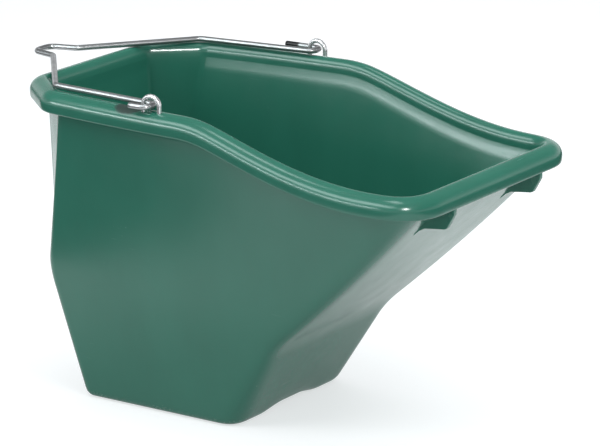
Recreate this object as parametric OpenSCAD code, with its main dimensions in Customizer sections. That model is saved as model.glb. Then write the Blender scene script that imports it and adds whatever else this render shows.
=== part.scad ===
// Flat-backed feed bucket with a scoop front, a rolled rim and a wire bail.
// Millimetres, +Z up, +X towards the pouring lip, origin at the middle of the base's underside.

/* [Base] */
// Length of the base outline along X
base_len = 189; // [178:1:200]
// Width of the base outline along Y
base_w = 196; // [186:1:206]
// Rounding where the base turns up into the walls
edge_r = 9; // [6:1:12]
// How far the grip arch under the front edge cuts back
arch_in = 20; // [0:1:30]
// Height of the grip arch
arch_h = 3.5; // [0:0.5:6]
// Thickness of the floor
floor_t = 4.5; // [3:0.5:6]
// Thickness of the walls and of the rolled rim
wall = 3.5; // [2.5:0.5:4]

/* [Back wall] */
// Height at which the back wall turns upright
back_kink_z = 135; // [120:1:150]
// How far the back wall has leaned out by then
back_lean = 38; // [30:1:42]

/* [Front wall] */
// Height at which the front wall turns out into the scoop
front_kink_z = 90; // [78:1:100]
// How far the front wall has leaned out by then
front_lean = 52; // [44:1:58]
// Outward swell of the scoop between the turn and the rim
belly = 5; // [0:0.5:8]

/* [Side walls] */
// How far the sides draw in below the rim, so that they flare at the top
waist = 3.5; // [0:0.5:5]
// Crispness of the upright front corners at the turn
corner_pull = 2.5; // [1:0.5:3]

/* [Rim line] */
// X of the rim's crown along the back
rim_back_x = -147.5; // [-152:0.5:-144]
// X where the slanting back corners meet the sides
rim_side_x = -98.5; // [-106:0.5:-94]
// X of the rim's crown along the front
rim_front_x = 324; // [318:0.5:330]
// Width between the crown's back corners
rim_back_w = 171; // [160:1:180]
// Width between the crowns where the sides start
rim_side_w = 257; // [248:1:262]
// Width between the crowns at the front corners
rim_front_w = 270; // [262:1:276]
// Outward bow of each side between its ends
rim_bow = 12; // [6:1:14]
// Rounding of the front corners
rim_corner = 33; // [26:1:36]
// Rounding of the slanting back corners
slant_corner = 8; // [6:0.5:14]
// Height of the crown at the back and along the rear of the sides
rim_high = 326; // [318:1:334]
// Height of the crown at the pouring lip
rim_low = 280; // [272:1:288]
// X where the rim starts to drop
drop_start = 80.5; // [72:0.5:90]
// X where the rim has finished dropping
drop_end = 288.5; // [276:0.5:294]
// Skew of the drop towards its start
drop_skew = 0.7; // [0.6:0.05:1]

/* [Rim section] */
// Reach of the skirt's lower edge outside the crown
skirt_out = 14.8; // [14:0.1:17]
// Drop from the crown to the skirt's lower edge
skirt_h = 20.5; // [18:0.5:24]
// Reach of the inner wall face inside the crown
crown_in = 7; // [6:0.5:9]

/* [Gussets] */
// Distance from the middle of the bucket to each gusset
gusset_y = 80; // [60:1:90]
// Thickness of a gusset
gusset_t = 5; // [3:0.5:8]

/* [Bail] */
// Wire diameter of the bail
bail_d = 6; // [5:0.5:6.5]
// X of the line the bail turns on
pivot_x = 31; // [26:0.5:34]
// Height of that line above the crown
pivot_up = 5.2; // [4.6:0.1:5.8]
// Distance from the middle to each eye
eye_y = 145; // [143:0.5:146]
// Width of an eye between wire centres
eye_w = 16; // [15:0.5:18]
// Length of the left eye's tail
tail_left = 44; // [30:1:50]
// Length of the right eye's tail
tail_right = 21; // [16:1:44]
// X of the bend over each back corner
bend_x = -102; // [-108:1:-97]
// Distance of that bend from the middle
bend_y = 124; // [118:1:127]
// X of the root of the hanging loop
root_x = -185; // [-189:1:-180]
// Half the width of the loop's root
root_y = 20; // [16:1:24]
// X of the end of the hanging loop
tip_x = -214.5; // [-220:0.5:-208]
// Half the width of the loop's end
tip_y = 12.5; // [11.5:0.5:14]
// Sag of the loop end below level when the bail lies on the rim
rest_tilt = 0.55; // [0:0.05:0.6]

/* [Ears] */
// Wire diameter of the ears
ear_d = 4.8; // [4:0.2:5]
// Distance between the legs of an ear
ear_w = 19; // [18:0.5:20]

/* [Hidden] */
$fn = 48;

pivot_z = rim_high + pivot_up;
bail_r = bail_d / 2;
ear_r = ear_d / 2;
tuck_z = rim_high - wall - ear_r - 4.8;

// Points per stretch of half an outline: back edge, slant, side and front edge, then each corner
n_back = 3;
n_slant = 3;
n_side = 26;
n_front = 6;
n_turn = 5;
n_lip = 8;

function clamp(t) = max(0, min(1, t));
function ease(t) = t * t * (3 - 2 * t);
function bezier(a, b, c, t) = a * pow(1 - t, 2) + b * 2 * t * (1 - t) + c * pow(t, 2);
function toward(a, b, d) = a + (b - a) * d / norm(b - a);

// Crown height for a given X
function crown_z(x) =
    rim_high - (rim_high - rim_low)
    * ease(pow(clamp((x - drop_start) / (drop_end - drop_start)), drop_skew));

// Half an outline from the middle of the back to the middle of the front, corners rounded off
function spread(a, b, n) = [for (k = [1 : n]) a + (b - a) * k / (n + 1)];
function turn(a, b, c, cut, n, pull = 1) =
    [for (k = [0 : n])
        let (t = k / n, s = 1 - t, w = 2 * pull * s * t)
        (toward(b, a, cut) * s * s + b * w + toward(b, c, cut) * t * t) / (s * s + w + t * t)];
function half(back, rear, side, front, slant_cut, lip_cut, pull) =
    let (
        q0 = [back[0], 0],
        q4 = [front[0], 0],
        r1 = turn(q0, back, rear, slant_cut, n_turn),
        r2 = turn(back, rear, front, slant_cut, n_turn),
        r3 = turn(rear, front, q4, lip_cut, n_lip, pull),
        flat = concat(
            [q0], spread(q0, r1[0], n_back), r1,
            spread(r1[n_turn], r2[0], n_slant), r2,
            spread(r2[n_turn], r3[0], n_side), r3,
            spread(r3[n_lip], q4, n_front), [q4]
        )
    )
    [for (p = flat)
        let (t = clamp((p[0] - rear[0]) / (front[0] - rear[0])))
        [p[0], p[1] + side * 4 * t * (1 - t)]];

// The whole outline, the +Y half and then its mirror image
function whole(h) =
    let (m = len(h) - 1)
    concat(h, [for (k = [1 : m - 1]) [h[m - k][0], -h[m - k][1]]]);

function crown_line(pull) = whole(half(
    [rim_back_x, rim_back_w / 2], [rim_side_x, rim_side_w / 2], rim_bow,
    [rim_front_x, rim_front_w / 2], slant_corner, rim_corner, pull
));
function foot_line(pull) = whole(half(
    [-base_len / 2, base_w / 2 - 8], [-base_len / 2 + 8, base_w / 2], 0,
    [base_len / 2, base_w / 2], 4, 24, pull
));
crown = crown_line(1);
foot = foot_line(1);
crisp_crown = crown_line(corner_pull);
crisp_foot = foot_line(corner_pull);
count = len(crown);

// Unit normals that point out of the crown line, one per point
function out(i) =
    let (
        d = crown[(i + 1) % count] - crown[(i + count - 1) % count],
        n = [-d[1], d[0]] / norm(d)
    ) n;
normals = [for (i = [0 : count - 1]) out(i)];

// How far forward a point lies: 0 at the back corner, 1 at the lip
lead = [for (p = crown) clamp((p[0] - rim_side_x) / (rim_front_x - rim_side_x))];

// A ring of the rim: n outside the crown line, z below the crown
function ring(n, z) =
    [for (i = [0 : count - 1])
        let (p = crown[i] + normals[i] * n)
        [p[0], p[1], crown_z(crown[i][0]) + z]];

// Where the outer and inner wall faces meet the rim
throat_z = -skirt_h - 1.5;
outer_top = ring(wall - crown_in, throat_z);
inner_top = ring(-crown_in, throat_z);

// The ring on which the back and front walls turn
elbow = [for (i = [0 : count - 1])
    let (
        t = lead[i],
        s = ease(t),
        z = back_kink_z + (front_kink_z - back_kink_z) * s,
        p = crisp_foot[i],
        lean = front_lean * pow(t, 1.5) - back_lean * pow(1 - t, 1.5),
        y = crisp_crown[i][1] + normals[i][1] * (wall - crown_in)
    )
    [p[0] + lean, p[1] + (y - p[1]) * z / outer_top[i][2], z]];

// Points up the outer wall at point i, from t = 0 at the foot, 1 at the elbow, to 2 at the rim
function lower_wall(i, t) =
    [foot[i][0], foot[i][1], 0] * (1 - t) + elbow[i] * t;
function upper_wall(i, t) =
    let (
        swell = belly * 4 * t * (1 - t) * pow(lead[i], 2),
        draw = waist * 6.75 * t * t * (1 - t) * pow(normals[i][1], 3)
    )
    elbow[i] * (1 - t) + outer_top[i] * t + [swell, -draw, 0];
bend_low = 0.86;
bend_high = 1.08;
function outer_wall(i, t) =
    t < bend_low ? lower_wall(i, t)
    : t > bend_high ? upper_wall(i, t - 1)
    : bezier(
        lower_wall(i, bend_low), elbow[i], upper_wall(i, bend_high - 1),
        (t - bend_low) / (bend_high - bend_low)
    );

// The front edge's share of the grip arch at point i
function arch(i) =
    foot[i][0] > base_len / 2 - 4 ? ease(clamp(1.35 - abs(foot[i][1]) / (base_w * 0.2))) : 0;

// The turn from the underside into the outer wall, k from 0 to 1
function heel(i, k) =
    let (
        a = arch(i),
        sink = edge_r + arch_in * a,
        p = [foot[i][0], foot[i][1], 0],
        q = p - [normals[i][0], normals[i][1], 0] * sink,
        up = [0, 0, arch_h * a]
    )
    bezier(q, p + up, lower_wall(i, edge_r / elbow[i][2]) + up * 0.5, k);

// The inner skin lies one wall in from the outer, a little more where the front slopes
function inset(i, p) =
    let (d = wall * (1 + 0.35 * lead[i]))
    p - [normals[i][0], normals[i][1], 0] * d;
function inner_wall(i, t) = inset(i, outer_wall(i, t));
function inner_heel(i, k) =
    let (
        s = (edge_r + floor_t) / elbow[i][2],
        p = inset(i, lower_wall(i, floor_t / elbow[i][2])),
        q = p - [normals[i][0], normals[i][1], 0] * edge_r
    )
    bezier([q[0], q[1], floor_t], [p[0], p[1], floor_t], inset(i, lower_wall(i, s)), k);

// Stations up each wall
wall_steps = [0.45, bend_low, 0.5 + bend_low / 2, 1, 0.5 + bend_high / 2, bend_high, 1.35, 1.7];
heel_steps = [0, 0.33, 0.67, 1];

// Rim section from the wall, up inside the roll, round the skirt's edge, over the dome and in
dome_h = skirt_h - 7.5;
roll_under = [
    [wall - crown_in, -13], [wall - crown_in, -7.5], [-2.4, -5], [0, -3.8], [3.6, -4], [7.4, -5.9],
    [10, -9.2], [skirt_out - 3.4, -skirt_h + 6.5]
];
roll_edge = [
    [skirt_out - 3.6, -skirt_h + 0.9], [skirt_out - 3, -skirt_h],
    [skirt_out - 1.5, -skirt_h], [skirt_out - 0.6, -skirt_h + 1]
];
dome = [for (a = [0 : 20 : 180])
    let (r = a < 90 ? [skirt_out, dome_h] : [crown_in, crown_in])
    [r[0] * cos(a), r[1] * (sin(a) - 1)]];
roll_over = concat([[skirt_out - 0.1, -skirt_h + 4]], dome, [[-crown_in, -13]]);

rings = concat(
    [for (k = heel_steps) [for (i = [0 : count - 1]) heel(i, k)]],
    [for (t = wall_steps) [for (i = [0 : count - 1]) outer_wall(i, t)]],
    [outer_top],
    [for (p = concat(roll_under, roll_edge, roll_over)) ring(p[0], p[1])],
    [inner_top],
    [for (k = [len(wall_steps) - 1 : -1 : 0])
        [for (i = [0 : count - 1]) inner_wall(i, wall_steps[k])]],
    [for (k = [len(heel_steps) - 1 : -1 : 0])
        [for (i = [0 : count - 1]) inner_heel(i, heel_steps[k])]]
);

module shell() {
    last = (len(rings) - 1) * count;
    points = concat([for (r = rings, p = r) p], [[0, 0, 0], [0, 0, floor_t]]);
    middle = len(rings) * count;
    sides = [for (j = [0 : len(rings) - 2], i = [0 : count - 1])
        let (a = j * count + i, b = j * count + (i + 1) % count)
        each [[a, b, a + count], [b, b + count, a + count]]];
    bottom = [for (i = [0 : count - 1]) [(i + 1) % count, i, middle]];
    top = [for (i = [0 : count - 1]) [last + i, last + (i + 1) % count, middle + 1]];
    polyhedron(points, concat(bottom, sides, top), convexity = 8);
}

// Where a gusset meets the front wall, t up the scoop
function scoop(t) = let (p = upper_wall(count / 2, t)) [p[0] - 1.4, p[2]];

module gusset(side) {
    low = scoop(0.82);
    translate([0, side * gusset_y + gusset_t / 2, 0])
        rotate([90, 0, 0])
            linear_extrude(gusset_t)
                polygon(concat(
                    [for (t = [1 : -0.06 : 0.8]) scoop(t)],
                    [low + [4, 1.5], low + [8, 5.5], low + [14, 8.6], low + [37, 11.4],
                     low + [47, 27], low + [47, 34]],
                    [[rim_front_x + 2, rim_low - 5.2], [rim_front_x - 5.6, rim_low - 8.5]]
                ));
}

// Round wire along a path in the XY plane, with each inner corner bent to its own radius
function dir(a, b) = (b - a) / norm(b - a);
function swing(a, b, c) = acos(max(-1, min(1, dir(a, b) * dir(b, c))));
function cut_at(p, r, k) =
    k == 0 || k == len(p) - 1 ? 0 : r[k] * tan(swing(p[k - 1], p[k], p[k + 1]) / 2);

// Straights run a little way into the bends, which are a hair fuller, so the two join cleanly
lap = 0.2;
swell = 0.01;

module wire(p, r, radius) {
    for (k = [0 : len(p) - 2]) {
        d = dir(p[k], p[k + 1]);
        a = p[k] + d * (k == 0 ? 0 : cut_at(p, r, k) - lap);
        b = p[k + 1] - d * (k == len(p) - 2 ? 0 : cut_at(p, r, k + 1) - lap);
        translate([a[0], a[1], 0])
            rotate([0, 90, atan2(d[1], d[0])])
                cylinder(r = radius, h = norm(b - a));
    }
    for (k = [1 : len(p) - 2]) {
        u = dir(p[k - 1], p[k]);
        v = dir(p[k], p[k + 1]);
        s = swing(p[k - 1], p[k], p[k + 1]);
        c = p[k] + dir(u, v) * r[k] / cos(s / 2);
        left = u[0] * v[1] - u[1] * v[0] > 0;
        start = left ? atan2(u[1], u[0]) - 90 : atan2(v[1], v[0]) + 90;
        translate([c[0], c[1], 0])
            rotate([0, 0, start])
                rotate_extrude(angle = s)
                    translate([r[k], 0])
                        circle(r = radius + swell);
    }
}

module bucket() {
    color([0.12, 0.42, 0.33])
    difference() {
        union() {
            shell();
            gusset(1);
            gusset(-1);
        }
        for (side = [-1, 1], leg = [-1, 1])
            translate([pivot_x + leg * ear_w / 2, side * eye_y, rim_high - 12])
                cylinder(r = ear_r + 0.1, h = 15);
    }
}

// A staple of wire over the bail's eye, its legs through the rim and tucked in beneath
module ear(side) {
    color([0.82, 0.83, 0.84])
    translate([pivot_x, side * eye_y, 0])
        rotate([90, 0, 0])
            wire(
                [[-3.2, tuck_z], [-ear_w / 2, tuck_z], [-ear_w / 2, pivot_z + ear_w / 2],
                 [ear_w / 2, pivot_z + ear_w / 2], [ear_w / 2, tuck_z], [3.2, tuck_z]],
                [0, 3, ear_w / 2 - 0.05, ear_w / 2 - 0.05, 3, 0], ear_r
            );
}

module ear_left() {
    ear(1);
}

module ear_right() {
    ear(-1);
}

module bail() {
    eye_r = eye_w / 2 - 0.05;
    x0 = -pivot_x;
    color([0.72, 0.74, 0.75])
    translate([pivot_x, 0, pivot_z])
        rotate([0, -rest_tilt, 0])
            wire(
                [[-tail_left, eye_y + eye_w / 2], [0, eye_y + eye_w / 2], [0, eye_y - eye_w / 2],
                 [x0 + bend_x, bend_y], [x0 + root_x, root_y], [x0 + tip_x, tip_y],
                 [x0 + tip_x, -tip_y], [x0 + root_x, -root_y], [x0 + bend_x, -bend_y],
                 [0, -eye_y + eye_w / 2], [0, -eye_y - eye_w / 2],
                 [-tail_right, -eye_y - eye_w / 2]],
                [0, eye_r, eye_r - 0.8, 10, 8, 10, 10, 8, 10, eye_r - 0.8, eye_r, 0], bail_r
            );
}

bucket();
ear_left();
ear_right();
bail();
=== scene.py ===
"""Feed bucket with a scoop front and a wire bail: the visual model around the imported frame."""

import math

import bmesh
import bpy
import numpy as np
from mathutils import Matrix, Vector


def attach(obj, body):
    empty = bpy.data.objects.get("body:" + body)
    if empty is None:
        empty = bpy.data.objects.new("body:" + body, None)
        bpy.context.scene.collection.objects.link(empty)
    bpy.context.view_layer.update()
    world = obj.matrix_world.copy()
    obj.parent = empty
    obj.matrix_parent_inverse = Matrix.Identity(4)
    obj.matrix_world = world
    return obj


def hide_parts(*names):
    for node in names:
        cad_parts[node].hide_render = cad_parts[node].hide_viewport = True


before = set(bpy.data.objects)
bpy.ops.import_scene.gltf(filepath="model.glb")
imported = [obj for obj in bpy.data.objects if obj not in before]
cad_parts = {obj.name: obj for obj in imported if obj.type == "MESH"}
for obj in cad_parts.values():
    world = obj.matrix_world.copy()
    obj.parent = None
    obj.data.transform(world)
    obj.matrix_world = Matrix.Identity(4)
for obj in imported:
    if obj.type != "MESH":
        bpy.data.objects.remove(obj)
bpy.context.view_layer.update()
MM = 0.001

# ---------------------------------------------------------------- sizes, in millimetres
BASE_LEN, BASE_W = 189.0, 196.0
BASE_SLANT, BASE_SLANT_CORNER, BASE_CORNER = 8.0, 4.7, 24.0
EDGE_R, ARCH_IN, ARCH_H, FLOOR_T, WALL = 9.0, 20.0, 3.5, 4.5, 3.5
BACK_KINK_Z, BACK_LEAN = 135.0, 38.0
FRONT_KINK_Z, FRONT_LEAN, BELLY = 90.0, 52.0, 5.0
WAIST, CORNER_PULL = 3.5, 2.5
INNER_FLARE = 3.0  # how much more the inner face flares under the rim, along the sides
RIM_BACK_X, RIM_SIDE_X, RIM_FRONT_X = -147.5, -98.5, 324.0
RIM_BACK_W, RIM_SIDE_W, RIM_FRONT_W = 171.0, 257.0, 270.0
RIM_BOW, RIM_CORNER, SLANT_CORNER = 12.0, 33.0, 8.0
RIM_HIGH, RIM_LOW = 326.0, 280.0
DROP_START, DROP_END, DROP_SKEW = 80.5, 288.5, 0.7
SKIRT_OUT, SKIRT_H, CROWN_IN = 14.8, 20.5, 7.0
GUSSET_Y, GUSSET_T = 80.0, 5.0
BAIL_R, EAR_R = 3.0, 2.4
PIVOT_X, PIVOT_Z = 31.0, 331.2
EYE_Y, EYE_W, EAR_W = 145.0, 16.0, 19.0
TAIL_LEFT, TAIL_RIGHT = 44.0, 21.0
BEND, ROOT, TIP = (-102.0, 124.0), (-185.0, 20.0), (-214.5, 12.5)
REST_TILT = math.radians(0.55)
TUCK_Z = RIM_HIGH - WALL - EAR_R - 4.8
DOME_H = SKIRT_H - 7.5  # height of the rolled edge's rounded part


# ---------------------------------------------------------------- mesh helpers
def clamp(t):
    return np.clip(t, 0.0, 1.0)


def ease(t):
    return t * t * (3 - 2 * t)


def bezier(a, b, c, t):
    return a * (1 - t) ** 2 + b * 2 * t * (1 - t) + c * t**2


def rounded(points, passes=2):
    """A polyline with its corners cut off again and again, ends kept."""
    p = np.array(points, float)
    for _ in range(passes):
        a, b = p[:-1], p[1:]
        cut = np.stack([a * 0.75 + b * 0.25, a * 0.25 + b * 0.75], 1).reshape(-1, p.shape[1])
        p = np.vstack([p[:1], cut[1:-1], p[-1:]])
    return p


def make_object(name, verts, faces, material, body):
    """A smooth-shaded mesh piece, its points given in millimetres."""
    mesh = bpy.data.meshes.new(name)
    mesh.from_pydata((np.asarray(verts) * MM).tolist(), [], faces)
    bm = bmesh.new()
    bm.from_mesh(mesh)
    bmesh.ops.recalc_face_normals(bm, faces=bm.faces)
    if bm.calc_volume(signed=True) < 0:
        bmesh.ops.reverse_faces(bm, faces=bm.faces)
    bm.to_mesh(mesh)
    bm.free()
    mesh.shade_smooth()
    mesh.materials.append(material)
    obj = bpy.data.objects.new(name, mesh)
    bpy.context.scene.collection.objects.link(obj)
    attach(obj, body)
    return obj


# ---------------------------------------------------------------- shader helpers
class Nodes:
    """Short names for building one material's node tree."""

    def __init__(self, name):
        self.material = bpy.data.materials.new(name)
        self.material.use_nodes = True
        self.tree = self.material.node_tree
        self.tree.nodes.clear()
        self.shader = self.add("ShaderNodeBsdfPrincipled")
        out = self.add("ShaderNodeOutputMaterial")
        self.join(self.shader.outputs["BSDF"], out.inputs["Surface"])
        self.place = self.add("ShaderNodeTexCoord").outputs["Object"]

    def add(self, kind, **settings):
        node = self.tree.nodes.new(kind)
        for key, value in settings.items():
            setattr(node, key, value)
        return node

    def join(self, a, b):
        self.tree.links.new(a, b)

    def put(self, socket, value):
        if hasattr(value, "is_linked"):
            self.join(value, socket)
        else:
            socket.default_value = value

    def stretch(self, scale, source=None):
        node = self.add("ShaderNodeMapping")
        self.put(node.inputs["Vector"], source or self.place)
        node.inputs["Scale"].default_value = scale
        return node.outputs["Vector"]

    def noise(self, scale, detail=3.0, rough=0.5, source=None, warp=0.0):
        node = self.add("ShaderNodeTexNoise")
        self.put(node.inputs["Vector"], source or self.place)
        node.inputs["Scale"].default_value = scale
        node.inputs["Detail"].default_value = detail
        node.inputs["Roughness"].default_value = rough
        node.inputs["Distortion"].default_value = warp
        return node.outputs["Fac"]

    def cells(self, scale, source=None):
        node = self.add("ShaderNodeTexVoronoi", feature="F1")
        self.put(node.inputs["Vector"], source or self.place)
        node.inputs["Scale"].default_value = scale
        return node.outputs["Color"]

    def remap(self, value, low, high, to_low, to_high, smooth=False):
        node = self.add("ShaderNodeMapRange")
        node.interpolation_type = "SMOOTHSTEP" if smooth else "LINEAR"
        for key, v in zip(
            ("Value", "From Min", "From Max", "To Min", "To Max"),
            (value, low, high, to_low, to_high),
        ):
            self.put(node.inputs[key], v)
        return node.outputs["Result"]

    def math(self, kind, a, b=0.0):
        node = self.add("ShaderNodeMath", operation=kind)
        self.put(node.inputs[0], a)
        self.put(node.inputs[1], b)
        return node.outputs["Value"]

    def mix(self, amount, a, b):
        node = self.add("ShaderNodeMix", data_type="RGBA")
        self.put(node.inputs["Factor"], amount)
        self.put(node.inputs["A"], a)
        self.put(node.inputs["B"], b)
        return node.outputs["Result"]

    def bump(self, height, strength, distance, before=None):
        node = self.add("ShaderNodeBump")
        self.put(node.inputs["Height"], height)
        node.inputs["Strength"].default_value = strength
        node.inputs["Distance"].default_value = distance
        if before is not None:
            self.join(before, node.inputs["Normal"])
        return node.outputs["Normal"]


# ---------------------------------------------------------------- materials
DEEP_GREEN, FRESH_GREEN = (0.0190, 0.132, 0.091, 1), (0.0215, 0.147, 0.101, 1)
FLOW_GREEN, SCUFFED_GREEN = (0.0235, 0.158, 0.111, 1), (0.085, 0.24, 0.19, 1)
# the first colour on the next line is painted shade, for the rim under the bail's eye
EYE_SHADE_COLOUR, DULL_ZINC, NEAR_BLACK = (0.008, 0.019, 0.016, 1), (0.20, 0.20, 0.195, 1), (0.03, 0.03, 0.03, 1)


def moulded_plastic():
    """Green polyethylene: faint pigment clouds, orange peel, hairline scuffs and a worn foot."""
    n = Nodes("moulded_green_polyethylene")
    split = n.add("ShaderNodeSeparateXYZ")
    n.join(n.place, split.inputs["Vector"])
    height = split.outputs["Z"]

    clouds = n.noise(7.0, 4.0, 0.55, warp=0.4)
    flow = n.noise(26.0, 3.0, 0.5, source=n.stretch((1.0, 1.0, 0.22)))
    pigment = n.mix(n.remap(clouds, 0.3, 0.7, 0.0, 1.0), DEEP_GREEN, FRESH_GREEN)
    pigment = n.mix(n.remap(flow, 0.45, 0.75, 0.0, 0.35), pigment, FLOW_GREEN)

    # hairline scuffs in two directions, and rubbing where the foot meets the ground
    long_a = n.noise(60.0, 2.0, 0.6, source=n.stretch((0.35, 0.35, 22.0)), warp=0.3)
    long_b = n.noise(55.0, 2.0, 0.6, source=n.stretch((9.0, 0.5, 6.0)), warp=0.2)
    hair = n.math("MAXIMUM", n.remap(long_a, 0.69, 0.75, 0.0, 1.0), n.remap(long_b, 0.7, 0.76, 0.0, 1.0))
    hair = n.math("MULTIPLY", hair, n.remap(n.noise(11.0, 2.0), 0.48, 0.66, 0.0, 1.0))
    edge = n.remap(n.add("ShaderNodeNewGeometry").outputs["Pointiness"], 0.52, 0.58, 0.0, 1.0)
    grit = n.remap(n.noise(420.0, 4.0, 0.65), 0.5, 0.68, 0.0, 1.0)
    foot = n.math("MULTIPLY", n.remap(height, 0.001, 0.009, 1.0, 0.0, True), grit)
    worn = n.math("MAXIMUM", n.math("MULTIPLY", edge, 0.16), n.math("MULTIPLY", foot, 0.45))
    worn = n.math("MAXIMUM", worn, n.math("MULTIPLY", hair, 0.10))
    pigment = n.mix(worn, pigment, SCUFFED_GREEN)

    # painted shade on the rim under the right-hand eye of the bail, a dark patch standing in for the shadow
    # there
    along = n.math("POWER", n.math("DIVIDE", n.math("SUBTRACT", split.outputs["X"], 0.003), 0.017), 2.0)
    across = n.math("ADD", split.outputs["Y"], 0.1425)
    across = n.math("POWER", n.math("DIVIDE", across, 0.0085), 2.0)
    spread = n.math("ADD", n.math("ADD", along, across), n.remap(grit, 0.0, 1.0, -0.1, 0.1))
    on_rim = n.remap(height, 0.312, 0.317, 0.0, 1.0)
    eye_shade = n.math("MULTIPLY", n.remap(spread, 0.6, 1.2, 0.9, 0.0, True), on_rim)
    n.join(n.mix(eye_shade, pigment, EYE_SHADE_COLOUR), n.shader.inputs["Base Color"])

    gloss = n.remap(n.noise(34.0, 4.0, 0.6), 0.3, 0.7, 0.21, 0.27)
    # roughened by the scuffs and also by the painted shade under the bail's eye
    gloss = n.math("ADD", gloss, n.math("MULTIPLY", n.math("ADD", worn, eye_shade), 0.4))
    n.join(gloss, n.shader.inputs["Roughness"])
    n.shader.inputs["IOR"].default_value = 1.5
    n.shader.inputs["Coat Weight"].default_value = 0.12
    n.shader.inputs["Coat Roughness"].default_value = 0.09

    sink = n.bump(n.noise(9.0, 1.0), 0.05, 0.003)
    peel = n.bump(n.noise(330.0, 2.0, 0.5), 0.07, 0.0006, before=sink)
    grain = n.bump(n.noise(2100.0, 2.0, 0.6), 0.05, 0.0002, before=peel)
    n.join(n.bump(hair, 0.1, -0.00005, before=grain), n.shader.inputs["Normal"])
    return n.material


def galvanised(name, light, dark, rough, dull, metal, dark_end):
    """Drawn zinc-coated wire: draw lines, zinc flecks and duller patches.

    The first stretch along the wire, of the given end length, is coloured near black.
    """
    n = Nodes(name)
    along = n.add("ShaderNodeUVMap", uv_map="along").outputs["UV"]
    lines = n.noise(1.0, 3.0, 0.6, source=n.stretch((14.0, 11.0, 1.0), along))
    flecks = n.add("ShaderNodeSeparateColor")
    n.join(n.cells(420.0), flecks.inputs["Color"])
    patches = n.remap(n.noise(60.0, 4.0, 0.6, warp=0.6), 0.42, 0.66, 0.0, 1.0, True)
    soot = n.math("MULTIPLY", patches, dull)
    tone = n.mix(n.remap(lines, 0.35, 0.65, 0.0, 1.0), dark, light)
    tone = n.mix(n.math("MULTIPLY", flecks.outputs["Red"], 0.06), tone, light)
    tone = n.mix(soot, tone, DULL_ZINC)
    run = n.add("ShaderNodeSeparateXYZ")
    n.join(along, run.inputs["Vector"])
    # the start of the wire is coloured near black
    dark_tip = n.remap(run.outputs["X"], dark_end - 0.004, dark_end, 1.0, 0.0, True)
    n.join(n.mix(dark_tip, tone, NEAR_BLACK), n.shader.inputs["Base Color"])
    n.shader.inputs["Metallic"].default_value = metal
    shine = n.remap(flecks.outputs["Green"], 0.0, 1.0, rough - 0.015, rough + 0.02)
    n.join(n.math("ADD", shine, n.math("MULTIPLY", soot, 0.2)), n.shader.inputs["Roughness"])
    drawn = n.bump(lines, 0.05, 0.00003)
    coat = n.bump(n.noise(300.0, 1.0, 0.5), 0.03, 0.00004, before=drawn)
    n.join(coat, n.shader.inputs["Normal"])
    return n.material


def studio_floor():
    """Pale glowing sweep, painted dark in reflections outside one bright band and close to the bucket, and
    seen through from below to show the underside.
    """
    n = Nodes("pale_floor")
    tone = n.remap(n.noise(3.0, 2.0), 0.3, 0.7, 0.0, 1.0)
    n.join(n.mix(tone, (0.43, 0.45, 0.46, 1), (0.45, 0.47, 0.48, 1)), n.shader.inputs["Base Color"])
    n.shader.inputs["Emission Color"].default_value = (0.98, 0.99, 1.0, 1)
    n.shader.inputs["Emission Strength"].default_value = 0.64
    n.shader.inputs["Roughness"].default_value = 0.9
    n.shader.inputs["Specular IOR Level"].default_value = 0.1

    # to glossy rays the floor beyond the bright band is painted dark, standing in for a darker studio
    aside = []
    for way, near, far in (((-0.6, -0.8, 0.0), 0.44, 0.60), ((0.74, 0.67, 0.0), 0.66, 0.95)):
        reach = n.add("ShaderNodeVectorMath", operation="DOT_PRODUCT")
        n.join(n.place, reach.inputs[0])
        reach.inputs[1].default_value = way
        aside.append(n.remap(reach.outputs["Value"], near, far, 0.0, 0.93, True))
    path = n.add("ShaderNodeLightPath")

    # and painted darker close to the bucket, a painted shadow seen in reflections; the lift of diffuse
    # light off the floor is lowered too
    apart = n.add("ShaderNodeVectorMath", operation="LENGTH")
    n.join(n.place, apart.inputs[0])
    near_bucket_shade = n.remap(apart.outputs["Value"], 0.15, 0.42, 0.40, 0.0, True)
    shade = n.math("MAXIMUM", n.math("MAXIMUM", *aside), near_bucket_shade)
    shade = n.math("MULTIPLY", shade, path.outputs["Is Glossy Ray"])
    shade = n.math("ADD", shade, n.math("MULTIPLY", path.outputs["Is Diffuse Ray"], 0.4))
    dark = n.add("ShaderNodeEmission")
    dark.inputs["Color"].default_value = (0, 0, 0, 1)
    dim = n.add("ShaderNodeMixShader")
    n.join(shade, dim.inputs["Fac"])
    n.join(n.shader.outputs["BSDF"], dim.inputs[1])
    n.join(dark.outputs["Emission"], dim.inputs[2])

    clear = n.add("ShaderNodeBsdfTransparent")
    pick = n.add("ShaderNodeMixShader")
    n.join(n.add("ShaderNodeNewGeometry").outputs["Backfacing"], pick.inputs["Fac"])
    n.join(dim.outputs["Shader"], pick.inputs[1])
    n.join(clear.outputs["BSDF"], pick.inputs[2])
    out = next(x for x in n.tree.nodes if x.type == "OUTPUT_MATERIAL")
    n.join(pick.outputs["Shader"], out.inputs["Surface"])
    return n.material


PLASTIC = moulded_plastic()
BAIL_WIRE = galvanised(
    "galvanised_bail_wire", (0.46, 0.47, 0.48, 1), (0.32, 0.33, 0.33, 1),
    rough=0.30, dull=0.25, metal=0.92, dark_end=0.019,
)  # fmt: skip
EAR_WIRE = galvanised(
    "galvanised_ear_wire", (0.88, 0.89, 0.90, 1), (0.76, 0.77, 0.78, 1),
    rough=0.20, dull=0.10, metal=0.8, dark_end=0.0,
)  # fmt: skip


# ---------------------------------------------------------------- the bucket's outlines
N_BACK, N_SLANT, N_SIDE, N_FRONT, N_TURN, N_LIP = 9, 9, 96, 22, 10, 22


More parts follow.
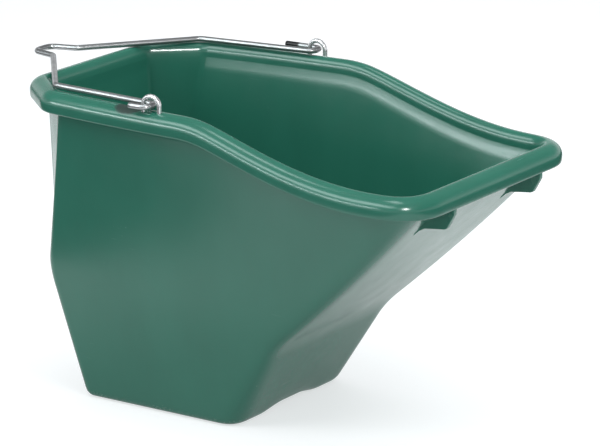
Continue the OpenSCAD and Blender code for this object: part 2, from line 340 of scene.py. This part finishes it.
def crown_z(x):
    """Height of the crown, its bends softened by averaging over a short stretch."""
    near = [clamp((x + d - DROP_START) / (DROP_END - DROP_START)) for d in (-14, -7, 0, 7, 14)]
    drop = sum(ease(t**DROP_SKEW) for t in near) / len(near)
    return RIM_HIGH - (RIM_HIGH - RIM_LOW) * drop


def toward(a, b, d):
    return a + (b - a) * d / np.linalg.norm(b - a)


def spread(a, b, n):
    """n points evenly between two, ends left out."""
    return a + (b - a) * (np.arange(1, n + 1) / (n + 1))[:, None]


def turn(a, b, c, cut, n, pull=1.0):
    """The corner at b rounded off, starting cut before it; a higher pull makes it crisper."""
    t = np.linspace(0, 1, n + 1)[:, None]
    s, w = 1 - t, 2 * pull * t * (1 - t)
    return (toward(b, a, cut) * s * s + b * w + toward(b, c, cut) * t * t) / (s * s + w + t * t)


def outline(back, rear, bow, front, slant_cut, lip_cut, pull):
    """A whole outline from the middle of the back, round the +Y side and back along the -Y side.

    A higher pull makes the front corners crisper.
    """
    back, rear, front = (np.array(p) for p in (back, rear, front))
    start, end = np.array([back[0], 0.0]), np.array([front[0], 0.0])
    r1 = turn(start, back, rear, slant_cut, N_TURN)
    r2 = turn(back, rear, front, slant_cut, N_TURN)
    r3 = turn(rear, front, end, lip_cut, N_LIP, pull)
    p = np.vstack(
        [
            [start], spread(start, r1[0], N_BACK), r1, spread(r1[-1], r2[0], N_SLANT), r2,
            spread(r2[-1], r3[0], N_SIDE), r3, spread(r3[-1], end, N_FRONT), [end],
        ]
    )  # fmt: skip
    t = clamp((p[:, 0] - rear[0]) / (front[0] - rear[0]))
    p[:, 1] += bow * 4 * t * (1 - t)
    return np.vstack([p, p[-2:0:-1] * [1, -1]])


def crown_line(pull):
    """The rim's crown seen from above."""
    return outline(
        (RIM_BACK_X, RIM_BACK_W / 2), (RIM_SIDE_X, RIM_SIDE_W / 2), RIM_BOW,
        (RIM_FRONT_X, RIM_FRONT_W / 2), SLANT_CORNER, RIM_CORNER, pull,
    )  # fmt: skip


def foot_line(pull):
    """The foot seen from above."""
    return outline(
        (-BASE_LEN / 2, BASE_W / 2 - BASE_SLANT), (-BASE_LEN / 2 + BASE_SLANT, BASE_W / 2), 0,
        (BASE_LEN / 2, BASE_W / 2), BASE_SLANT_CORNER, BASE_CORNER, pull,
    )  # fmt: skip


CROWN, FOOT2 = crown_line(1.0), foot_line(1.0)
CRISP_CROWN, CRISP_FOOT = crown_line(CORNER_PULL), foot_line(CORNER_PULL)
COUNT = len(CROWN)
slope = np.roll(CROWN, -1, 0) - np.roll(CROWN, 1, 0)
OUTWARD = np.stack([-slope[:, 1], slope[:, 0], np.zeros(COUNT)], 1)
OUTWARD /= np.linalg.norm(OUTWARD, axis=1)[:, None]
LEAD = clamp((CROWN[:, 0] - RIM_SIDE_X) / (RIM_FRONT_X - RIM_SIDE_X))[:, None]
FOOT = np.column_stack([FOOT2, np.zeros(COUNT)])
CROWN3 = np.column_stack([CROWN, crown_z(CROWN[:, 0])])
UP = np.array([0.0, 0.0, 1.0])
FLARE = OUTWARD * INNER_FLARE * OUTWARD[:, 1:2] ** 4


def ring(n, z):
    """A ring of the rim: n outside the crown, z above it."""
    return CROWN3 + OUTWARD * n + UP * z


THROAT_Z = -SKIRT_H - 1.5
OUTER_TOP = ring(WALL - CROWN_IN, THROAT_Z)
elbow_z = BACK_KINK_Z + (FRONT_KINK_Z - BACK_KINK_Z) * ease(LEAD[:, 0])
top_y = CRISP_CROWN[:, 1] + OUTWARD[:, 1] * (WALL - CROWN_IN)
ELBOW = np.stack(
    [
        CRISP_FOOT[:, 0] + FRONT_LEAN * LEAD[:, 0] ** 1.5 - BACK_LEAN * (1 - LEAD[:, 0]) ** 1.5,
        CRISP_FOOT[:, 1] + (top_y - CRISP_FOOT[:, 1]) * elbow_z / OUTER_TOP[:, 2],
        elbow_z,
    ],
    1,
)


def lower_wall(t):
    """The straight face below the bend, t = 0 at the foot and 1 at the bend."""
    return FOOT * (1 - t) + ELBOW * t


def upper_wall(t):
    """The face above the bend, swelling at the front and drawn in at the sides."""
    shift = np.zeros((COUNT, 3))
    shift[:, 0] = BELLY * 4 * t * (1 - t) * LEAD[:, 0] ** 2
    draw = 6.75 * t * t * (1 - t)  # peaks at 1
    shift[:, 1] = -WAIST * draw * OUTWARD[:, 1] ** 3
    return ELBOW * (1 - t) + OUTER_TOP * t + shift


BEND_LOW, BEND_HIGH = 0.86, 1.08


def outer_wall(t):
    """Points up the outer face: t = 0 at the foot, 1 at the bend, 2 at the rim."""
    if t < BEND_LOW:
        return lower_wall(t)
    if t > BEND_HIGH:
        return upper_wall(t - 1)
    k = (t - BEND_LOW) / (BEND_HIGH - BEND_LOW)
    return bezier(lower_wall(BEND_LOW), ELBOW, upper_wall(BEND_HIGH - 1), k)


arch = np.where(
    FOOT[:, 0] > BASE_LEN / 2 - 4, ease(clamp(1.35 - abs(FOOT[:, 1]) / (BASE_W * 0.2))), 0.0
)[:, None]


def heel(k):
    """The turn from the underside into the outer face, with the grip arch under the front edge."""
    up = UP * ARCH_H * arch
    start = FOOT - OUTWARD * (EDGE_R + ARCH_IN * arch)
    return bezier(start, FOOT + up, lower_wall(EDGE_R / ELBOW[:, 2:]) + up * 0.5, k)


def inset(p):
    """The inner face's share of a ring, one wall in, a little more where the front slopes."""
    return p - OUTWARD * WALL * (1 + 0.35 * LEAD)


def inner_heel(k):
    """The turn from the inner floor into the inner face."""
    low = inset(lower_wall(FLOOR_T / ELBOW[:, 2:]))
    low[:, 2] = FLOOR_T
    turn_in = EDGE_R - WALL
    return bezier(low - OUTWARD * turn_in, low, inset(lower_wall((turn_in + FLOOR_T) / ELBOW[:, 2:])), k)


# ---------------------------------------------------------------- the bucket
def build_bucket():
    """Nested rings from the underside up the outer face, over the rolled rim and down inside."""
    wall = [0.2, 0.34, 0.48, 0.62, 0.75, BEND_LOW]
    wall += [BEND_LOW + (BEND_HIGH - BEND_LOW) * k / 10 for k in range(1, 11)]
    wall += [1.16, 1.26, 1.37, 1.48, 1.59, 1.7, 1.8, 1.9, 1.96]

    # the rim's section as steps outwards and down from the crown
    arc = np.radians(np.arange(0, 91, 6))
    dome = [(SKIRT_OUT * math.cos(a), DOME_H * (math.sin(a) - 1)) for a in arc]
    roof = [(WALL - CROWN_IN, -16), (WALL - CROWN_IN, -12), (WALL - CROWN_IN, -7.5), (-2.4, -5)]
    roof += [(0, -3.8), (3.6, -4), (7.4, -5.9), (10, -9.2), (SKIRT_OUT - 3.4, -SKIRT_H + 6.5)]
    edge = [(SKIRT_OUT - 3.6, -SKIRT_H + 0.9), (SKIRT_OUT - 3, -SKIRT_H), (SKIRT_OUT - 1.5, -SKIRT_H)]
    edge += [(SKIRT_OUT - 0.5, -SKIRT_H + 0.9), (SKIRT_OUT - 0.1, -SKIRT_H + 4)]
    inner = [(0, 0), (-1.3, -0.1), (-3.2, -1.3), (-5.0, -3.4), (-6.3, -5.8)]
    inner += [(-7.0, -8.4), (-7.3, -11), (-7.6, -14.5)]
    section = list(rounded(roof + edge + dome[:1], 2)) + dome[1:] + list(rounded(inner, 3))[1:]

    rings = [heel(k) for k in np.linspace(0, 1, 9)]
    rings += [outer_wall(t) for t in wall] + [OUTER_TOP]
    rings += [ring(n, z) for n, z in section] + [inset(OUTER_TOP) - FLARE]
    rings += [inset(outer_wall(t)) - FLARE * clamp((t - 1.5) / 0.5) ** 2 for t in reversed(wall)]
    rings += [inner_heel(k) for k in np.linspace(1, 0, 9)]

    # the flat underside and floor carry their own rings, so that they shade flat
    def shrink(r, z, amounts):
        return [np.column_stack([r[:, :2] * a, np.full(COUNT, z)]) for a in amounts]

    under = shrink(heel(0), 0.0, (0.35, 0.7, 0.9, 0.985))
    floor = shrink(inner_heel(0), FLOOR_T, (0.985, 0.9, 0.7, 0.35))
    rings = under + rings + floor
    last = (len(rings) - 1) * COUNT
    verts = np.vstack(rings + [[[0, 0, 0], [0, 0, FLOOR_T]]])
    nxt = np.roll(np.arange(COUNT), -1)
    faces = []
    for j in range(len(rings) - 1):
        a, b = j * COUNT + np.arange(COUNT), j * COUNT + nxt
        faces += np.stack([b, a, a + COUNT, b + COUNT], 1).tolist()
    faces += [(a, b, len(verts) - 2) for a, b in zip(range(COUNT), nxt.tolist())]
    faces += [(last + b, last + a, len(verts) - 1) for a, b in zip(range(COUNT), nxt.tolist())]
    shell = make_object("bucket_shell", verts, faces, PLASTIC, "bucket_body")

    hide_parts("bucket")
    return shell


def build_gusset(name, side):
    """One web under the pouring lip, rounded along its edges."""
    mid = int(np.argmin(abs(CROWN[:, 1]) + (CROWN[:, 0] < 0) * 1e3))

    def scoop(t):
        p = upper_wall(t)[mid]
        return np.array([p[0] - 1.4, p[2]])

    low = scoop(0.82)
    steps = ((2, 0.3), (4, 1.8), (8, 5.5), (14, 8.6), (25, 10), (36, 11.2), (39, 12.4), (47, 27), (47, 34))
    toe = [low + step for step in steps]
    rim = [(RIM_FRONT_X + 2, RIM_LOW - 5.2), (RIM_FRONT_X - 5.6, RIM_LOW - 8.5)]
    shape = [scoop(t) for t in np.linspace(1, 0.8, 6)] + toe + rim
    n = len(shape)
    verts = [(x, side * GUSSET_Y + y, z) for y in (-GUSSET_T / 2, GUSSET_T / 2) for x, z in shape]
    faces = [list(range(n)), list(range(2 * n - 1, n - 1, -1))]
    faces += [(k, k + n, (k + 1) % n + n, (k + 1) % n) for k in range(n)]
    obj = make_object(name, verts, faces, PLASTIC, "bucket_body")
    bevel = obj.modifiers.new("soft_edges", "BEVEL")
    bevel.width, bevel.segments, bevel.limit_method, bevel.angle_limit = 0.0009, 3, "ANGLE", 0.6
    obj.modifiers.new("even_shading", "WEIGHTED_NORMAL").keep_sharp = True
    return obj


# ---------------------------------------------------------------- wire
def bent_path(points, radii, step=0.8):
    """Points along a planar wire whose corners are bent to their own radii."""
    p = [np.array(q, float) for q in points]
    line = [p[0]]
    for k in range(1, len(p) - 1):
        u = (p[k] - p[k - 1]) / np.linalg.norm(p[k] - p[k - 1])
        v = (p[k + 1] - p[k]) / np.linalg.norm(p[k + 1] - p[k])
        angle = math.acos(max(-1.0, min(1.0, float(u @ v))))
        cut = radii[k] * math.tan(angle / 2)
        side = 1.0 if u[0] * v[1] - u[1] * v[0] > 0 else -1.0
        a = p[k] - u * cut
        centre = a + side * radii[k] * np.array([-u[1], u[0]])
        for s in np.linspace(0, side * angle, max(8, int(radii[k] * angle / step))):
            w = a - centre
            c, d = math.cos(s), math.sin(s)
            line.append(centre + np.array([c * w[0] - d * w[1], d * w[0] + c * w[1]]))
    line.append(p[-1])
    out = [line[0]]
    for a, b in zip(line, line[1:]):
        gap = np.linalg.norm(b - a)
        if gap > 1e-6:
            parts = max(1, int(gap / 4))
            out += [a + (b - a) * k / parts for k in range(1, parts + 1)]
    return np.array(out)


def sweep(name, flat, place, radius, material, body, replaced):
    """A round wire along a planar line, its ends sheared off with a small chamfer."""
    sides = 28
    d = np.gradient(flat, axis=0)
    d /= np.linalg.norm(d, axis=1)[:, None]
    left = np.stack([-d[:, 1], d[:, 0]], 1)
    length = np.concatenate([[0], np.cumsum(np.linalg.norm(np.diff(flat, axis=0), axis=1))])
    stations = [(0, 0.0, 0.62), (0, 0.25, 0.9), (0, 0.7, 1.0)]
    stations += [(k, 0.0, 1.0) for k in range(1, len(flat) - 1)]
    stations += [(-1, -0.7, 1.0), (-1, -0.25, 0.9), (-1, 0.0, 0.62)]
    turns = np.linspace(0, 2 * math.pi, sides, endpoint=False)
    verts, marks = [], []
    for k, shift, share in stations:
        c = flat[k] + d[k] * shift
        for a in turns:
            q = c + left[k] * radius * share * math.cos(a)
            verts.append(place(q[0], q[1], radius * share * math.sin(a)))
            marks.append((length[k] + shift, a / (2 * math.pi)))
    rows = len(stations)
    faces = [
        (j * sides + i, j * sides + (i + 1) % sides, (j + 1) * sides + (i + 1) % sides, (j + 1) * sides + i)
        for j in range(rows - 1)
        for i in range(sides)
    ]
    faces += [list(range(sides)), list(range(rows * sides - 1, (rows - 1) * sides - 1, -1))]
    obj = make_object(name, verts, faces, material, body)
    uv = obj.data.uv_layers.new(name="along")
    for loop in obj.data.loops:
        s, a = marks[loop.vertex_index]
        uv.data[loop.index].uv = (s * MM, a)
    for poly in obj.data.polygons:  # the seam's last column closes at 1, not at 0
        around = [uv.data[i].uv[1] for i in poly.loop_indices]
        if len(around) == 4 and max(around) - min(around) > 0.5:
            for i in poly.loop_indices:
                if uv.data[i].uv[1] < 0.5:
                    uv.data[i].uv[1] += 1.0
    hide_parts(replaced)
    return obj


def build_bail():
    x0, eye_r, half_eye = -PIVOT_X, EYE_W / 2 - 0.05, EYE_W / 2
    left = [
        (-TAIL_LEFT, EYE_Y + half_eye), (0, EYE_Y + half_eye), (0, EYE_Y - half_eye),
        (x0 + BEND[0], BEND[1]), (x0 + ROOT[0], ROOT[1]), (x0 + TIP[0], TIP[1]),
    ]  # fmt: skip
    right = [(x, -y) for x, y in reversed(left)]
    right[-1] = (-TAIL_RIGHT, right[-1][1])
    radii = [0, eye_r, eye_r - 0.8, 10, 8, 10, 10, 8, 10, eye_r - 0.8, eye_r, 0]
    c, s = math.cos(REST_TILT), math.sin(REST_TILT)

    def place(x, y, z):
        return (PIVOT_X + x * c - z * s, y, PIVOT_Z + x * s + z * c)

    return sweep(
        "bail_wire", bent_path(left + right, radii), place, BAIL_R, BAIL_WIRE,
        "bail_body", "bail",
    )  # fmt: skip


def build_ear(name, side, replaced):
    half, top = EAR_W / 2, PIVOT_Z + EAR_W / 2
    points = [(-3.2, TUCK_Z), (-half, TUCK_Z), (-half, top), (half, top), (half, TUCK_Z), (3.2, TUCK_Z)]
    radii = [0, 3, half - 0.05, half - 0.05, 3, 0]

    def place(x, z, y):
        return (PIVOT_X + x, side * EYE_Y + y, z)

    return sweep(
        name, bent_path(points, radii, 0.5), place, EAR_R, EAR_WIRE,
        "bucket_body", replaced,
    )  # fmt: skip


build_bucket()
build_gusset("gusset_left", 1)
build_gusset("gusset_right", -1)
build_bail()
build_ear("ear_wire_left", 1, "ear_left")
build_ear("ear_wire_right", -1, "ear_right")


# ---------------------------------------------------------------- studio
WHITE, COOL = (1, 1, 1), (0.9, 0.98, 1)
RIM_SPOT = (0.1, -0.14, 0.33)
# name, place, aim, size in metres, watts, tint
SOFT_LIGHTS = [
    ("overhead_softbox", (0.3, 0.35, 2.3), (0.15, 0.2, 0.0), (3.0, 3.0), 60, WHITE),
    ("front_fill", (-0.9, -1.9, 1.9), (0.1, 0.1, 0.2), (1.3, 1.3), 25, WHITE),
    ("right_fill", (1.7, -0.6, 1.9), (0.0, 0.0, 0.2), (1.2, 1.2), 21, WHITE),
]
# these only show in gloss: two strips along the rim, the sheen inside, the glints at the front corner
HIGHLIGHTS = [
    ("band_softbox", (-0.45, -1.35, 1.75), RIM_SPOT, (2.4, 0.6), 27, COOL),
    ("top_strip", (0.05, -0.2, 2.3), RIM_SPOT, (1.0, 0.35), 6.5, COOL),
    ("low_strip", (-0.93, -1.4, 0.82), (0.1, 0.12, 0.31), (1.5, 0.16), 13, COOL),
    ("right_softbox", (1.75, -1.6, 1.55), (0.2, -0.1, 0.3), (0.3, 0.3), 36, WHITE),
]
FLOOR_REACH, FLOOR_N, FLOOR_Z = 9, 13, -0.0005


def area_light(name, place, aim, size, power, tint):
    data = bpy.data.lights.new(name, "AREA")
    data.shape = "RECTANGLE"
    data.size, data.size_y = size
    data.energy, data.color = power, tint
    obj = bpy.data.objects.new(name, data)
    obj.location = place
    obj.rotation_euler = (Vector(aim) - Vector(place)).to_track_quat("-Z", "Y").to_euler()
    bpy.context.scene.collection.objects.link(obj)
    return obj


def build_studio():
    mesh = bpy.data.meshes.new("floor")
    steps = np.linspace(-FLOOR_REACH, FLOOR_REACH, FLOOR_N)
    corners = [j * FLOOR_N + i for j in range(FLOOR_N - 1) for i in range(FLOOR_N - 1)]
    mesh.from_pydata(
        [(x, y, FLOOR_Z) for y in steps for x in steps], [],
        [(c, c + 1, c + FLOOR_N + 1, c + FLOOR_N) for c in corners],
    )  # fmt: skip
    mesh.materials.append(studio_floor())
    floor = bpy.data.objects.new("floor", mesh)
    bpy.context.scene.collection.objects.link(floor)

    # a white sweep all round up to a little over the horizon, a dim room above it
    world = bpy.data.worlds.new("studio")
    world.use_nodes = True
    tree = world.node_tree
    sky = tree.nodes["Background"]
    place = tree.nodes.new("ShaderNodeTexCoord")
    split = tree.nodes.new("ShaderNodeSeparateXYZ")
    fade = tree.nodes.new("ShaderNodeMapRange")
    fade.interpolation_type = "SMOOTHSTEP"
    for key, value in (("From Min", 0.12), ("From Max", 0.42), ("To Min", 1.0), ("To Max", 0.22)):
        fade.inputs[key].default_value = value
    tree.links.new(place.outputs["Generated"], split.inputs["Vector"])
    tree.links.new(split.outputs["Z"], fade.inputs["Value"])
    tree.links.new(fade.outputs["Result"], sky.inputs["Strength"])
    sky.inputs["Color"].default_value = (0.96, 0.98, 1.0, 1)
    bpy.context.scene.world = world

    for name, place, aim, size, power, tint in SOFT_LIGHTS:
        area_light(name, place, aim, size, power, tint).visible_glossy = False
    for name, place, aim, size, power, tint in HIGHLIGHTS:
        area_light(name, place, aim, size, power, tint).visible_diffuse = False


def build_camera():
    azimuth, elevation, distance = math.radians(33.94), math.radians(15.77), 3.7198
    aim = Vector((0.10698, 0.00002, 0.19162))
    back = Vector(
        (
            math.sin(azimuth) * math.cos(elevation),
            -math.cos(azimuth) * math.cos(elevation),
            math.sin(elevation),
        )
    )
    data = bpy.data.cameras.new("camera")
    data.sensor_width, data.lens = 36.0, 223.43
    data.clip_start, data.clip_end = 0.05, 60.0
    cam = bpy.data.objects.new("camera", data)
    cam.location = aim + back * distance
    cam.rotation_euler = (-back).to_track_quat("-Z", "Y").to_euler()
    bpy.context.scene.collection.objects.link(cam)
    bpy.context.scene.camera = cam


build_studio()
build_camera()
view = bpy.context.scene.view_settings
view.view_transform, view.look = "Standard", "None"
view.exposure, view.gamma = 0.0, 1.0
